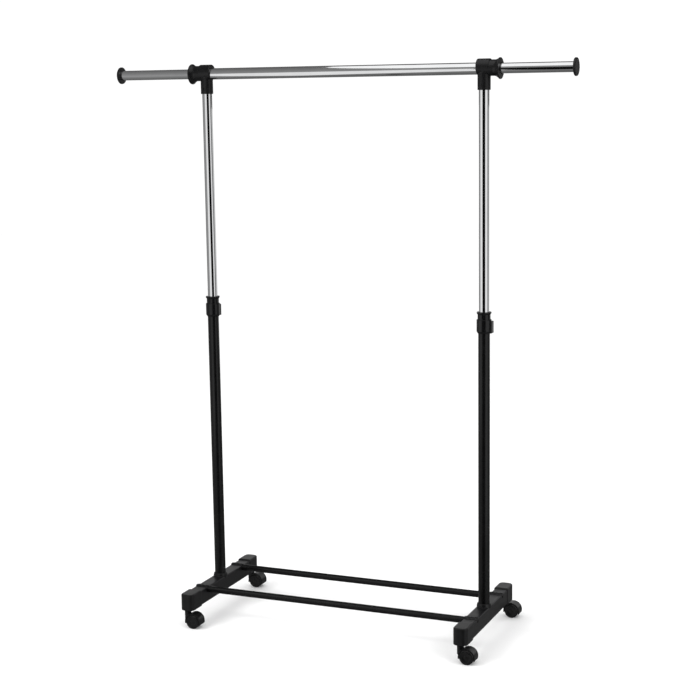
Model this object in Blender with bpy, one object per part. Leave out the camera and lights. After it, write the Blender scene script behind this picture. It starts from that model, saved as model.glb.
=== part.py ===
"""Rolling clothes rack: two height-adjustable uprights on castered legs, a rail and two pull-out rods.

Metres, +Z up. X runs along the rail, -Y is the front. The origin is on the floor, under the rack's middle.
"""

import math

import bmesh
import bpy
from mathutils import Matrix, Vector

# ---- driving sizes -------------------------------------------------------------------------------
POST_HALF_SPACING = 0.4125  # from the base's middle to an upright's axis
RAIL_HEIGHT = 1.569  # the rail's axis above the floor
ROD_OUT = {"left": 0.227, "right": 0.198}  # bare rod between the tee's flange and the end cap
COLLET_TOP = {"left": 0.934, "right": 0.921}  # top of each height clamp above the floor
LEG_HALF_LENGTH = 0.216
WHEEL_R = 0.020
BAR_HALF_SPACING = 0.113  # base bars from the middle, front and rear

LOWER_TUBE_R = 0.016
LOWER_TUBE_WALL = 0.001
UPPER_TUBE_R = 0.014
UPPER_TUBE_INSERTION = 0.163  # length of upper tube below the lower of the two clamps' tops
RAIL_R = 0.016
ROD_R = 0.014
ROD_LENGTH = 0.380
CHROME_WALL = 0.0008
BAR_R = 0.0095
BAR_WALL = 0.0008

GAP = 0.0003  # between pieces that touch
RUNNING = 0.00025  # radial clearance of what turns or slides
RAIL_CLEARANCE = 0.0012  # between the rail and an upright's end

# ---- casters -------------------------------------------------------------------------------------
CASTER_FROM_MIDDLE = LEG_HALF_LENGTH - 0.011  # swivel axes, front and rear
CASTER_TRAIL = WHEEL_R + 0.001  # wheels' axle from the swivel axis
WHEEL_Z = WHEEL_R
WHEEL_INNER = 0.0050  # wheel's inner face from the caster's middle
WHEEL_OUTER = 0.0175
WHEEL_TREAD_ROUND = 0.0020
WHEEL_DISH = 0.0020
WHEEL_HUB_R = 0.0070
WHEEL_WALL_R = WHEEL_R - 0.0035
WHEEL_CLEARANCE = 0.0010  # between a wheel's tread and the hood
AXLE_R = 0.0025
AXLE_HALF_LENGTH = 0.0140
HOOD_R = WHEEL_R + 0.0040
HOOD_HALF_WIDTH = 0.0160
HOOD_FROM = -20.0  # degrees about the axle, from +X
HOOD_TO = 192.0
WEB_R = WHEEL_R - 0.0030
WEB_HALF = 0.0042
NECK_R = 0.0095
NECK_EDGE = 0.0010
NECK_FLOOR = 0.0030  # plastic under the stem
NECK_TOP_GAP = 0.0010  # between the housing and the leg
STEM_R = 0.004
STEM_CHAMFER = 0.001
STEM_BOTTOM = WHEEL_Z + 0.0070

# ---- legs ----------------------------------------------------------------------------------------
BLOCK_BOTTOM = WHEEL_Z + HOOD_R + 0.0055
BLOCK_TOP = BLOCK_BOTTOM + 0.0475
BLOCK_HALF_WIDTH = 0.0205
BLOCK_LENGTH = 0.058
BLOCK_CORNER_R = 0.014
BLOCK_EDGE = 0.003
BEAM_HALF_WIDTH = 0.0190
BEAM_BOTTOM = BLOCK_BOTTOM + 0.0020
BEAM_TOP = BEAM_BOTTOM + 0.0420
BEAM_EDGE = 0.0025
BAR_HEIGHT = BEAM_TOP - 0.0070
BAR_SOCKET_DEPTH = 0.023
HUMP_WALL = 0.0020  # plastic over a bar's end
BOSS_R = LOWER_TUBE_R + 0.0045
BOSS_LIP_R = LOWER_TUBE_R + 0.0025
BOSS_TOP = BEAM_TOP + 0.0095
BOSS_CHAMFER = 0.003
BOSS_SKIRT = 0.008  # how far the boss runs down the beam's sides
POST_SOCKET_FLOOR = BEAM_BOTTOM + 0.0085
STEM_TOP = BLOCK_BOTTOM + 0.0345
STEM_SPACE = 0.0010  # above the stem, inside the leg
POST_PLUG_LENGTH = 0.030
POST_BOLT_R = 0.003
POST_BOLT_LENGTH = 0.026
POST_BOLT_HEAD_R = 0.005
POST_BOLT_HEAD = 0.0035
POST_BOLT_SINK = 0.0045
BAR_PLUG_LENGTH = 0.024
BAR_SCREW_R = 0.002
BAR_SCREW_LENGTH = 0.024
BAR_SCREW_HEAD_R = 0.0034
BAR_SCREW_HEAD = 0.0022
BAR_SCREW_SINK = 0.0040

# ---- height clamps -------------------------------------------------------------------------------
COLLET_RIM_R = LOWER_TUBE_R + 0.0041
COLLET_RIM_THICK = 0.0035
COLLET_NECK_R = LOWER_TUBE_R + 0.0016
COLLET_NECK = 0.020  # from the top down to the grip ring
COLLET_SEAT_R = LOWER_TUBE_R + 0.0020
COLLET_SEAT_DEPTH = 0.046  # from the top down to the lower tube's end
COLLET_TAIL = 0.030
COLLET_SLOTS = 6
COLLET_SLOT = 0.0016
RING_R = LOWER_TUBE_R + 0.0045
RING_HEIGHT = 0.038
RING_CHAMFER_H = 0.0055
RING_CHAMFER_R = 0.0030
PAD_REACH = LOWER_TUBE_R + 0.0086  # thumb pad's outer face from the upright's axis
PAD_HALF_WIDTH = 0.0100
PAD_DROP = 0.004  # pad's top below the ring's top
PAD_BELOW = 0.001  # pad's bottom above the ring's bottom
PAD_BEVEL = 0.0015
RING_TURN = {"left": 73.0, "right": 0.0}  # direction of the thumb pad, degrees from +X

# ---- tees and rail -------------------------------------------------------------------------------
TEE_INNER = 0.018  # from the upright's axis to the tee's inner end
TEE_OUTER = 0.047  # from the upright's axis to the flange's outer face
TEE_BODY_R = RAIL_R + 0.0060
TEE_BODY_RISE = 0.0042  # the body's axis above the rail's
TEE_BODY_END = 0.0190  # from the upright's axis to the body's outboard shoulder
TEE_EDGE = 0.0025
TEE_NECK_R = RAIL_R + 0.0055  # the horn between the shoulder and the flange
TEE_NECK_RISE = 0.0017  # the horn's axis above the rail's, at its neck
TEE_FLARE_START = 0.0290
TEE_FLANGE_R = RAIL_R + 0.0125
TEE_FLANGE_THICK = 0.0035
TEE_SLEEVE_R = UPPER_TUBE_R + 0.0035
TEE_SLEEVE_DROP = RAIL_R + 0.040  # from the rail's axis to the sleeve's bottom
TEE_SCREW_DROP = RAIL_R + 0.027
TEE_SCREW_R = 0.0015
TEE_SCREW_HEAD_R = 0.0030
TEE_SCREW_HEAD = 0.0016
TEE_SCREW_LENGTH = 0.0075
RAIL_END = 0.026  # from the upright's axis to the rail's cut end
BUSH_RECESS = 0.0010  # the bush's face inside the flange's face

# ---- rod and tube ends ---------------------------------------------------------------------------
CAP_R = ROD_R + 0.0100
CAP_THICK = 0.0070
CAP_ROUND = 0.0022
CAP_PLUG_LENGTH = 0.020
GUIDE_LENGTH = 0.020  # plugs in the inner ends of the upper tubes and rods
GUIDE_LIP = 0.004

# ---- facets --------------------------------------------------------------------------------------
TUBE_SIDES = 24
SMALL_SIDES = 20
PIN_SIDES = 12
CORNER_STEPS = 4
TEE_FLARE_STEPS = 3
HOOD_STEPS = 14
SMOOTH_ANGLE = math.radians(35)
OVERRUN = 0.002  # by which a cutter stands out of what it cuts

# ---- derived places ------------------------------------------------------------------------------
SIDES = {"left": -1, "right": 1}
ENDS = {"front": -1, "rear": 1}
BASE_X = (ROD_OUT["left"] - ROD_OUT["right"]) / 2
POST_X = {side: BASE_X + sign * POST_HALF_SPACING for side, sign in SIDES.items()}
LOWER_TUBE_BORE = LOWER_TUBE_R - LOWER_TUBE_WALL
LOWER_TUBE_TOP = {side: top - COLLET_SEAT_DEPTH for side, top in COLLET_TOP.items()}
UPPER_TUBE_TOP = RAIL_HEIGHT - RAIL_R - RAIL_CLEARANCE
UPPER_TUBE_BOTTOM = min(COLLET_TOP.values()) - UPPER_TUBE_INSERTION
FLANGE_FACE = POST_HALF_SPACING + TEE_OUTER

# ---- materials: name, colour, roughness, metallic ------------------------------------------------
PLASTIC_BLACK = ("plastic_black", (0.020, 0.020, 0.022), 0.45, 0.0)
CASTER_BLACK = ("caster_black", (0.012, 0.012, 0.013), 0.35, 0.0)
TUBE_BLACK = ("tube_black", (0.012, 0.012, 0.012), 0.35, 0.3)
TUBE_CHROME = ("tube_chrome", (0.80, 0.80, 0.82), 0.08, 1.0)
FASTENER_STEEL = ("fastener_steel", (0.45, 0.45, 0.46), 0.35, 0.9)
NYLON = ("nylon_natural", (0.75, 0.73, 0.68), 0.5, 0.0)


# ---- tools ---------------------------------------------------------------------------------------
def clear_scene():
    for obj in list(bpy.data.objects):
        bpy.data.objects.remove(obj, do_unlink=True)


def material(spec):
    name, colour, roughness, metallic = spec
    made = bpy.data.materials.get(name) or bpy.data.materials.new(name)
    made.use_nodes = True
    shader = made.node_tree.nodes["Principled BSDF"]
    shader.inputs["Base Color"].default_value = (*colour, 1.0)
    shader.inputs["Roughness"].default_value = roughness
    shader.inputs["Metallic"].default_value = metallic
    return made


def bore(radius, sides):
    """Radius of a faceted hole whose flats clear a round piece of this radius."""
    return radius / math.cos(math.pi / sides)


def arc(centre, radius, start, end, steps):
    """Points on an arc, angles in degrees, both ends included."""
    angles = [math.radians(start + (end - start) * i / steps) for i in range(steps + 1)]
    return [(centre[0] + radius * math.cos(a), centre[1] + radius * math.sin(a)) for a in angles]


def skin(mesh, first, second):
    """Faces between two rings of points, either of which may be a single point."""
    count = max(len(first), len(second))
    for i in range(count):
        j = (i + 1) % count
        corners = [first[i % len(first)], first[j % len(first)]]
        corners += [second[j % len(second)], second[i % len(second)]]
        corners = [c for k, c in enumerate(corners) if c not in corners[:k]]
        mesh.faces.new(corners)


def turned(profile, sides, mesh=None):
    """Adds (radius, height) points turned about Z. The profile runs from axis to axis, or is a loop."""
    mesh = mesh or bmesh.new()
    rings = []
    for radius, height in profile:
        if radius == 0:
            rings.append([mesh.verts.new((0, 0, height))])
            continue
        angles = [2 * math.pi * i / sides for i in range(sides)]
        spots = [(radius * math.cos(a), radius * math.sin(a), height) for a in angles]
        rings.append([mesh.verts.new(spot) for spot in spots])
    if profile[0][0] > 0:
        rings.append(rings[0])
    for first, second in zip(rings, rings[1:]):
        skin(mesh, first, second)
    return mesh


def tube_mesh(outer, inner, low, high, sides):
    return turned([(inner, low), (outer, low), (outer, high), (inner, high)], sides)


def rod_mesh(radius, low, high, sides, mesh=None):
    return turned([(0, low), (radius, low), (radius, high), (0, high)], sides, mesh)


def extruded(outline, low, high, mesh=None):
    """Adds a prism: an (x, y) outline between two heights."""
    mesh = mesh or bmesh.new()
    bottom = [mesh.verts.new((x, y, low)) for x, y in outline]
    top = [mesh.verts.new((x, y, high)) for x, y in outline]
    mesh.faces.new(bottom)
    mesh.faces.new(top)
    skin(mesh, bottom, top)
    return mesh


def block_mesh(low, high, mesh=None):
    outline = [(low[0], low[1]), (high[0], low[1]), (high[0], high[1]), (low[0], high[1])]
    return extruded(outline, low[2], high[2], mesh)


def moved(mesh, matrix):
    bmesh.ops.transform(mesh, matrix=matrix, verts=mesh.verts)
    return mesh


def turned_to(axis, place=(0, 0, 0)):
    """Matrix that lays the Z axis along axis and moves the origin to place."""
    turn = Vector((0, 0, 1)).rotation_difference(Vector(axis)).to_matrix().to_4x4()
    return Matrix.Translation(place) @ turn


def merged(*meshes):
    """One mesh that holds several separate bodies."""
    whole = bmesh.new()
    for mesh in meshes:
        part = bpy.data.meshes.new("part")
        mesh.to_mesh(part)
        mesh.free()
        whole.from_mesh(part)
        bpy.data.meshes.remove(part)
    return whole


def placed(name, mesh, spec, place=(0, 0, 0), parent=None, spin=0.0):
    """An object made from a bmesh, shaded smooth, with its origin at place, in its parent's space."""
    bmesh.ops.recalc_face_normals(mesh, faces=mesh.faces)
    data = bpy.data.meshes.new(name)
    mesh.to_mesh(data)
    mesh.free()
    data.shade_smooth()
    data.set_sharp_from_angle(angle=SMOOTH_ANGLE)
    obj = bpy.data.objects.new(name, data)
    obj.location = place
    obj.rotation_euler = (0, 0, math.radians(spin))
    obj.parent = parent
    if spec:
        data.materials.append(material(spec))
    bpy.context.scene.collection.objects.link(obj)
    return obj


def empty(name, place, parent=None):
    obj = bpy.data.objects.new(name, None)
    obj.location = place
    obj.parent = parent
    bpy.context.scene.collection.objects.link(obj)
    return obj


def combine(obj, operation, *meshes):
    """Cuts meshes from obj, or joins them to it, with one Boolean each. They are in obj's own space."""
    for i, mesh in enumerate(meshes):
        tool = placed(f"{obj.name}_{operation.lower()}_{i}", mesh, None, parent=obj)
        tool.hide_render = True
        tool.display_type = "WIRE"
        modifier = obj.modifiers.new(tool.name, "BOOLEAN")
        modifier.operation = operation
        modifier.solver = "EXACT"
        modifier.object = tool
    return obj


def cut(obj, *meshes):
    return combine(obj, "DIFFERENCE", *meshes)


def join(obj, *meshes):
    return combine(obj, "UNION", *meshes)


# ---- base ----------------------------------------------------------------------------------------
def block_outline(inset, end):
    """A leg's end block in plan, shrunk all round by inset. Its outer corners are rounded."""
    tip = LEG_HALF_LENGTH - inset
    root = LEG_HALF_LENGTH - BLOCK_LENGTH + inset
    half = BLOCK_HALF_WIDTH - inset
    corner = BLOCK_CORNER_R - inset
    outline = [(-half, root), (half, root)]
    outline += arc((half - corner, tip - corner), corner, 0, 90, CORNER_STEPS)
    outline += arc((-half + corner, tip - corner), corner, 90, 180, CORNER_STEPS)
    return [(x, end * y) for x, y in outline]


def leg_block(end):
    """A leg's tall end block, rounded in plan and chamfered round its top."""
    mesh = bmesh.new()
    rings = []
    for inset, height in ((0, BLOCK_BOTTOM), (0, BLOCK_TOP - BLOCK_EDGE), (BLOCK_EDGE, BLOCK_TOP)):
        rings.append([mesh.verts.new((x, y, height)) for x, y in block_outline(inset, end)])
    mesh.faces.new(rings[0])
    mesh.faces.new(rings[2])
    skin(mesh, rings[0], rings[1])
    skin(mesh, rings[1], rings[2])
    return mesh


def leg(side):
    """One leg, moulded in one piece: beam, end blocks, post boss and the humps over the base bars' ends."""
    inward = -SIDES[side]
    beam_end = LEG_HALF_LENGTH - BLOCK_LENGTH / 2
    shoulder = BEAM_HALF_WIDTH - BEAM_EDGE
    section = [(-BEAM_HALF_WIDTH, BEAM_BOTTOM), (BEAM_HALF_WIDTH, BEAM_BOTTOM)]
    section += [(BEAM_HALF_WIDTH, BEAM_TOP - BEAM_EDGE), (shoulder, BEAM_TOP)]
    section += [(-shoulder, BEAM_TOP), (-BEAM_HALF_WIDTH, BEAM_TOP - BEAM_EDGE)]
    beam = moved(extruded(section, -beam_end, beam_end), Matrix.Rotation(math.radians(90), 4, "X"))
    made = placed(f"{side}_leg", beam, PLASTIC_BLACK, (POST_X[side], 0, 0))
    boss = turned(
        [
            (0, BEAM_TOP - BOSS_SKIRT),
            (BEAM_HALF_WIDTH - GAP, BEAM_TOP - BOSS_SKIRT),
            (BOSS_R, BEAM_TOP - BOSS_CHAMFER),
            (BOSS_R, BEAM_TOP + BOSS_CHAMFER),
            (BOSS_LIP_R, BOSS_TOP),
            (0, BOSS_TOP),
        ],
        TUBE_SIDES,
    )
    join(made, leg_block(-1), leg_block(1), boss)
    along_x = (inward, 0, 0)
    hump_half = BEAM_HALF_WIDTH - GAP
    for end in ENDS.values():
        place = (0, end * BAR_HALF_SPACING, BAR_HEIGHT)
        hump = rod_mesh(BAR_R + HUMP_WALL, -hump_half, hump_half, TUBE_SIDES)
        join(made, moved(hump, turned_to(along_x, place)))
        socket_floor = BEAM_HALF_WIDTH - BAR_SOCKET_DEPTH
        bar_bore = bore(BAR_R + GAP, SMALL_SIDES)
        bar_hole = rod_mesh(bar_bore, socket_floor, BLOCK_HALF_WIDTH + OVERRUN, SMALL_SIDES)
        screw_hole = turned(
            [
                (0, -BEAM_HALF_WIDTH - OVERRUN),
                (BAR_SCREW_HEAD_R + 2 * GAP, -BEAM_HALF_WIDTH - OVERRUN),
                (BAR_SCREW_HEAD_R + 2 * GAP, BAR_SCREW_SINK - BEAM_HALF_WIDTH),
                (BAR_SCREW_R + GAP, BAR_SCREW_SINK - BEAM_HALF_WIDTH),
                (BAR_SCREW_R + GAP, socket_floor + OVERRUN),
                (0, socket_floor + OVERRUN),
            ],
            PIN_SIDES,
        )
        stem_bore = bore(STEM_R + GAP, PIN_SIDES)
        socket = rod_mesh(stem_bore, BLOCK_BOTTOM - OVERRUN, STEM_TOP + STEM_SPACE, PIN_SIDES)
        cut(made, moved(bar_hole, turned_to(along_x, place)), moved(screw_hole, turned_to(along_x, place)))
        cut(made, moved(socket, Matrix.Translation((0, end * CASTER_FROM_MIDDLE, 0))))
    post_bore = bore(LOWER_TUBE_R + GAP, TUBE_SIDES)
    post_hole = rod_mesh(post_bore, POST_SOCKET_FLOOR, BOSS_TOP + OVERRUN, TUBE_SIDES)
    bolt_hole = turned(
        [
            (0, BEAM_BOTTOM - OVERRUN),
            (POST_BOLT_HEAD_R + 2 * GAP, BEAM_BOTTOM - OVERRUN),
            (POST_BOLT_HEAD_R + 2 * GAP, BEAM_BOTTOM + POST_BOLT_SINK),
            (POST_BOLT_R + GAP, BEAM_BOTTOM + POST_BOLT_SINK),
            (POST_BOLT_R + GAP, POST_SOCKET_FLOOR + OVERRUN),
            (0, POST_SOCKET_FLOOR + OVERRUN),
        ],
        PIN_SIDES,
    )
    return cut(made, post_hole, bolt_hole)


def base_bar(end):
    """A steel cross bar, its ends inside the legs."""
    half = POST_HALF_SPACING - BEAM_HALF_WIDTH + BAR_SOCKET_DEPTH - GAP
    mesh = tube_mesh(BAR_R, BAR_R - BAR_WALL, -half, half, SMALL_SIDES)
    moved(mesh, turned_to((1, 0, 0)))
    return placed(f"{end}_base_bar", mesh, TUBE_BLACK, (BASE_X, ENDS[end] * BAR_HALF_SPACING, BAR_HEIGHT))


def bar_fixings(side, end):
    """The plug in one end of a bar, and the screw that holds it from the leg's outer face."""
    reach = POST_HALF_SPACING - BEAM_HALF_WIDTH + BAR_SOCKET_DEPTH - GAP
    inward = turned_to((-SIDES[side], 0, 0))
    place = (BASE_X + SIDES[side] * reach, ENDS[end] * BAR_HALF_SPACING, BAR_HEIGHT)
    placed(f"{end}_{side}_bar_plug", moved(bar_plug(), inward), NYLON, place)
    placed(f"{end}_{side}_bar_screw", moved(bar_screw(), inward), FASTENER_STEEL, place)


def bar_plug():
    return tube_mesh(BAR_R - BAR_WALL - GAP, BAR_SCREW_R + GAP, GAP, BAR_PLUG_LENGTH, PIN_SIDES)


def bar_screw():
    """A pan-head screw along +Z, with Z = 0 at the bar's end."""
    seat = BAR_SCREW_SINK - (2 * BEAM_HALF_WIDTH - BAR_SOCKET_DEPTH) - 2 * GAP
    top = seat - BAR_SCREW_HEAD
    return turned(
        [
            (0, top),
            (BAR_SCREW_HEAD_R, top),
            (BAR_SCREW_HEAD_R, seat),
            (BAR_SCREW_R, seat),
            (BAR_SCREW_R, seat + BAR_SCREW_LENGTH),
            (0, seat + BAR_SCREW_LENGTH + BAR_SCREW_R),
        ],
        PIN_SIDES,
    )


def post_plug():
    """The plug in a lower tube's foot, bored for its bolt."""
    low = POST_SOCKET_FLOOR + 2 * GAP
    return tube_mesh(LOWER_TUBE_BORE - GAP, POST_BOLT_R + GAP, low, low + POST_PLUG_LENGTH, SMALL_SIDES)


def post_bolt():
    """A bolt from under the leg into the plug in the lower tube's foot."""
    seat = BEAM_BOTTOM + POST_BOLT_SINK - GAP
    return turned(
        [
            (0, seat - POST_BOLT_HEAD),
            (POST_BOLT_HEAD_R, seat - POST_BOLT_HEAD),
            (POST_BOLT_HEAD_R, seat),
            (POST_BOLT_R, seat),
            (POST_BOLT_R, seat + POST_BOLT_LENGTH),
            (0, seat + POST_BOLT_LENGTH),
        ],
        PIN_SIDES,
    )


def lower_tube(side):
    low = POST_SOCKET_FLOOR + GAP
    mesh = tube_mesh(LOWER_TUBE_R, LOWER_TUBE_BORE, low, LOWER_TUBE_TOP[side], TUBE_SIDES)
    return placed(f"{side}_lower_tube", mesh, TUBE_BLACK, (POST_X[side], 0, 0))


# ---- height clamps -------------------------------------------------------------------------------
def collet(side):
    """The split plastic collet on a lower tube's end, which grips the upper tube."""
    top = COLLET_TOP[side]
    seat = LOWER_TUBE_TOP[side] + GAP
    inner = bore(UPPER_TUBE_R + RUNNING, TUBE_SIDES)
    mesh = turned(
        [
            (inner, seat - COLLET_TAIL),
            (LOWER_TUBE_BORE - GAP / 2, seat - COLLET_TAIL),
            (LOWER_TUBE_BORE - GAP / 2, seat),
            (COLLET_SEAT_R, seat),
            (COLLET_SEAT_R, top - COLLET_NECK - OVERRUN),
            (COLLET_NECK_R, top - COLLET_NECK),
            (COLLET_NECK_R, top - 2 * COLLET_RIM_THICK),
            (COLLET_RIM_R, top - COLLET_RIM_THICK),
            (COLLET_RIM_R, top),
            (inner + LOWER_TUBE_WALL, top),
            (inner, top - LOWER_TUBE_WALL),
        ],
        TUBE_SIDES,
    )
    made = placed(f"{side}_collet", mesh, PLASTIC_BLACK, (POST_X[side], 0, 0))
    slots = []
    for i in range(COLLET_SLOTS):
        slot = block_mesh(
            (inner - OVERRUN, -COLLET_SLOT / 2, top - COLLET_NECK + COLLET_SLOT),
            (COLLET_RIM_R + OVERRUN, COLLET_SLOT / 2, top + OVERRUN),
        )
        slots.append(moved(slot, Matrix.Rotation(2 * math.pi * (i + 0.5) / COLLET_SLOTS, 4, "Z")))
    return cut(made, merged(*slots))


def clamp_ring(side):
    """The grip ring round a collet, with a thumb pad. Its origin is on the axis that it turns about."""
    top = COLLET_TOP[side] - COLLET_NECK - GAP
    low = top - RING_HEIGHT
    step = LOWER_TUBE_TOP[side] - GAP
    wide = bore(COLLET_SEAT_R + RUNNING, TUBE_SIDES)
    narrow = bore(LOWER_TUBE_R + RUNNING, TUBE_SIDES)
    profile = [
        (narrow, low - top),
        (RING_R - RING_CHAMFER_R, low - top),
        (RING_R, low + RING_CHAMFER_H - top),
        (RING_R - RING_CHAMFER_R / 6, -RING_CHAMFER_R / 2),
        (RING_R - RING_CHAMFER_R / 2, 0),
        (wide, 0),
        (wide, step - top),
        (narrow, step - top),
    ]
    ring = turned(profile, TUBE_SIDES)
    place = (POST_X[side], 0, top)
    made = placed(f"{side}_clamp_ring", ring, PLASTIC_BLACK, place, spin=RING_TURN[side])
    inside = (wide + RING_R) / 2 - RING_CHAMFER_R / 6
    pad_low = (inside, -PAD_HALF_WIDTH, low + PAD_BELOW - top)
    pad = block_mesh(pad_low, (PAD_REACH, PAD_HALF_WIDTH, -PAD_DROP))
    outer = [e for e in pad.edges if all(v.co.x > (inside + PAD_REACH) / 2 for v in e.verts)]
    bmesh.ops.bevel(pad, geom=outer, offset=PAD_BEVEL, segments=1, affect="EDGES")
    join(made, pad)
    hole = rod_mesh(wide, step - top, OVERRUN, TUBE_SIDES)
    return cut(made, hole)


# ---- top frame -----------------------------------------------------------------------------------
def upper_tube(side, parent):
    low = UPPER_TUBE_BOTTOM - RAIL_HEIGHT
    high = UPPER_TUBE_TOP - RAIL_HEIGHT
    mesh = tube_mesh(UPPER_TUBE_R, UPPER_TUBE_R - CHROME_WALL, low, high, TUBE_SIDES)
    sign = SIDES[side]
    made = placed(f"{side}_upper_tube", mesh, TUBE_CHROME, (sign * POST_HALF_SPACING, 0, 0), parent)
    hole = rod_mesh(TEE_SCREW_R + GAP, 0, UPPER_TUBE_R + OVERRUN, PIN_SIDES)
    return cut(made, moved(hole, turned_to((0, -1, 0), (0, 0, -TEE_SCREW_DROP))))


def tube_guide(tube_bore, running_bore, length, lip):
    """A plug for a tube's end: a body inside the tube, and below it a lip that runs in the next tube."""
    return turned(
        [
            (0, -lip - GAP),
            (running_bore - RUNNING, -lip - GAP),
            (running_bore - RUNNING, -GAP),
            (tube_bore - GAP, -GAP),
            (tube_bore - GAP, length),
            (0, length),
        ],
        SMALL_SIDES,
    )


def post_guide(side, parent):
    mesh = tube_guide(UPPER_TUBE_R - CHROME_WALL, LOWER_TUBE_BORE, GUIDE_LENGTH, GUIDE_LIP)
    place = (SIDES[side] * POST_HALF_SPACING, 0, UPPER_TUBE_BOTTOM - RAIL_HEIGHT)
    return placed(f"{side}_post_guide", mesh, NYLON, place, parent)


def tee_flare():
    """(radius, distance outboard) up the tee's horn, from its neck to the flange's rim."""
    length = TEE_OUTER - TEE_FLANGE_THICK - TEE_FLARE_START
    rise = TEE_FLANGE_R - TEE_NECK_R
    shares = [i / TEE_FLARE_STEPS for i in range(TEE_FLARE_STEPS + 1)]
    return [(TEE_NECK_R + rise * share**2, TEE_FLARE_START + length * share) for share in shares]


def tee_horn(out):
    """The trumpet that ends in the flange. Its neck stands a little high; its rim is true to the rail."""
    edge = TEE_EDGE / 2
    rim = [(TEE_FLANGE_R, TEE_OUTER - edge), (TEE_FLANGE_R - edge, TEE_OUTER), (0, TEE_OUTER)]
    profile = [(0, 0), (TEE_NECK_R, 0)] + tee_flare() + rim
    mesh = moved(turned(profile, TUBE_SIDES), turned_to(out))
    length = TEE_OUTER - TEE_FLANGE_THICK - TEE_FLARE_START
    for vert in mesh.verts:
        share = min(max((abs(vert.co.x) - TEE_FLARE_START) / length, 0), 1)
        vert.co.z += TEE_NECK_RISE * (1 - share)
    return mesh


def tee(side, parent):
    """The moulded joint at a corner, bored for the rail and the rod, with a sleeve for the upper tube."""
    outboard = SIDES[side]
    body = turned(
        [
            (0, -TEE_INNER),
            (TEE_BODY_R - TEE_EDGE, -TEE_INNER),
            (TEE_BODY_R - TEE_EDGE / 4, TEE_EDGE / 4 - TEE_INNER),
            (TEE_BODY_R, TEE_EDGE - TEE_INNER),
            (TEE_BODY_R, TEE_BODY_END - TEE_EDGE),
            (TEE_BODY_R - TEE_EDGE, TEE_BODY_END),
            (0, TEE_BODY_END),
        ],
        TUBE_SIDES,
    )
    sleeve = turned(
        [
            (0, -TEE_SLEEVE_DROP),
            (TEE_SLEEVE_R - TEE_EDGE / 3, -TEE_SLEEVE_DROP),
            (TEE_SLEEVE_R, TEE_EDGE / 3 - TEE_SLEEVE_DROP),
            (TEE_SLEEVE_R, 0),
            (0, 0),
        ],
        TUBE_SIDES,
    )
    out = (outboard, 0, 0)
    moved(body, turned_to(out, (0, 0, TEE_BODY_RISE)))
    made = placed(f"{side}_tee", body, PLASTIC_BLACK, (outboard * POST_HALF_SPACING, 0, 0), parent)
    join(made, tee_horn(out), sleeve)
    rail_fit = bore(RAIL_R + GAP, TUBE_SIDES)
    rail_bore = rod_mesh(rail_fit, -TEE_INNER - OVERRUN, TEE_OUTER + OVERRUN, TUBE_SIDES)
    post_fit = bore(UPPER_TUBE_R + GAP, TUBE_SIDES)
    post_bore = rod_mesh(post_fit, -TEE_SLEEVE_DROP - OVERRUN, -RAIL_R / 2, TUBE_SIDES)
    screw_hole = turned(
        [
            (0, UPPER_TUBE_R - OVERRUN),
            (TEE_SCREW_R + GAP, UPPER_TUBE_R - OVERRUN),
            (TEE_SCREW_R + GAP, TEE_SLEEVE_R - TEE_SCREW_HEAD),
            (TEE_SCREW_HEAD_R + GAP, TEE_SLEEVE_R - TEE_SCREW_HEAD),
            (TEE_SCREW_HEAD_R + GAP, TEE_SLEEVE_R + OVERRUN),
            (0, TEE_SLEEVE_R + OVERRUN),
        ],
        PIN_SIDES,
    )
    front = turned_to((0, -1, 0), (0, 0, -TEE_SCREW_DROP))
    return cut(made, moved(rail_bore, turned_to(out)), post_bore, moved(screw_hole, front))


def tee_screw(side, parent):
    """The small screw that holds an upper tube in its tee, from the front."""
    head = TEE_SLEEVE_R + GAP
    screw = turned(
        [
            (0, head - TEE_SCREW_LENGTH),
            (TEE_SCREW_R, head - TEE_SCREW_LENGTH + TEE_SCREW_R),
            (TEE_SCREW_R, head - TEE_SCREW_HEAD + GAP),
            (TEE_SCREW_HEAD_R, head - TEE_SCREW_HEAD + GAP),
            (TEE_SCREW_HEAD_R, head),
            (0, head + GAP),
        ],
        PIN_SIDES,
    )
    place = (SIDES[side] * POST_HALF_SPACING, 0, -TEE_SCREW_DROP)
    placed(f"{side}_tee_screw", moved(screw, turned_to((0, -1, 0))), FASTENER_STEEL, place, parent)


def main_rail(parent):
    half = POST_HALF_SPACING + RAIL_END
    mesh = tube_mesh(RAIL_R, RAIL_R - CHROME_WALL, -half, half, TUBE_SIDES)
    return placed("main_rail", moved(mesh, turned_to((1, 0, 0))), TUBE_CHROME, parent=parent)


def rail_bush(side, parent):
    """The ring in a tee's mouth that an extension rod slides in."""
    inner = bore(ROD_R + RUNNING, TUBE_SIDES)
    mesh = tube_mesh(RAIL_R, inner, RAIL_END + GAP, TEE_OUTER - BUSH_RECESS, TUBE_SIDES)
    moved(mesh, turned_to((SIDES[side], 0, 0)))
    place = (SIDES[side] * POST_HALF_SPACING, 0, 0)
    return placed(f"{side}_rail_bush", mesh, PLASTIC_BLACK, place, parent)


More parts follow.
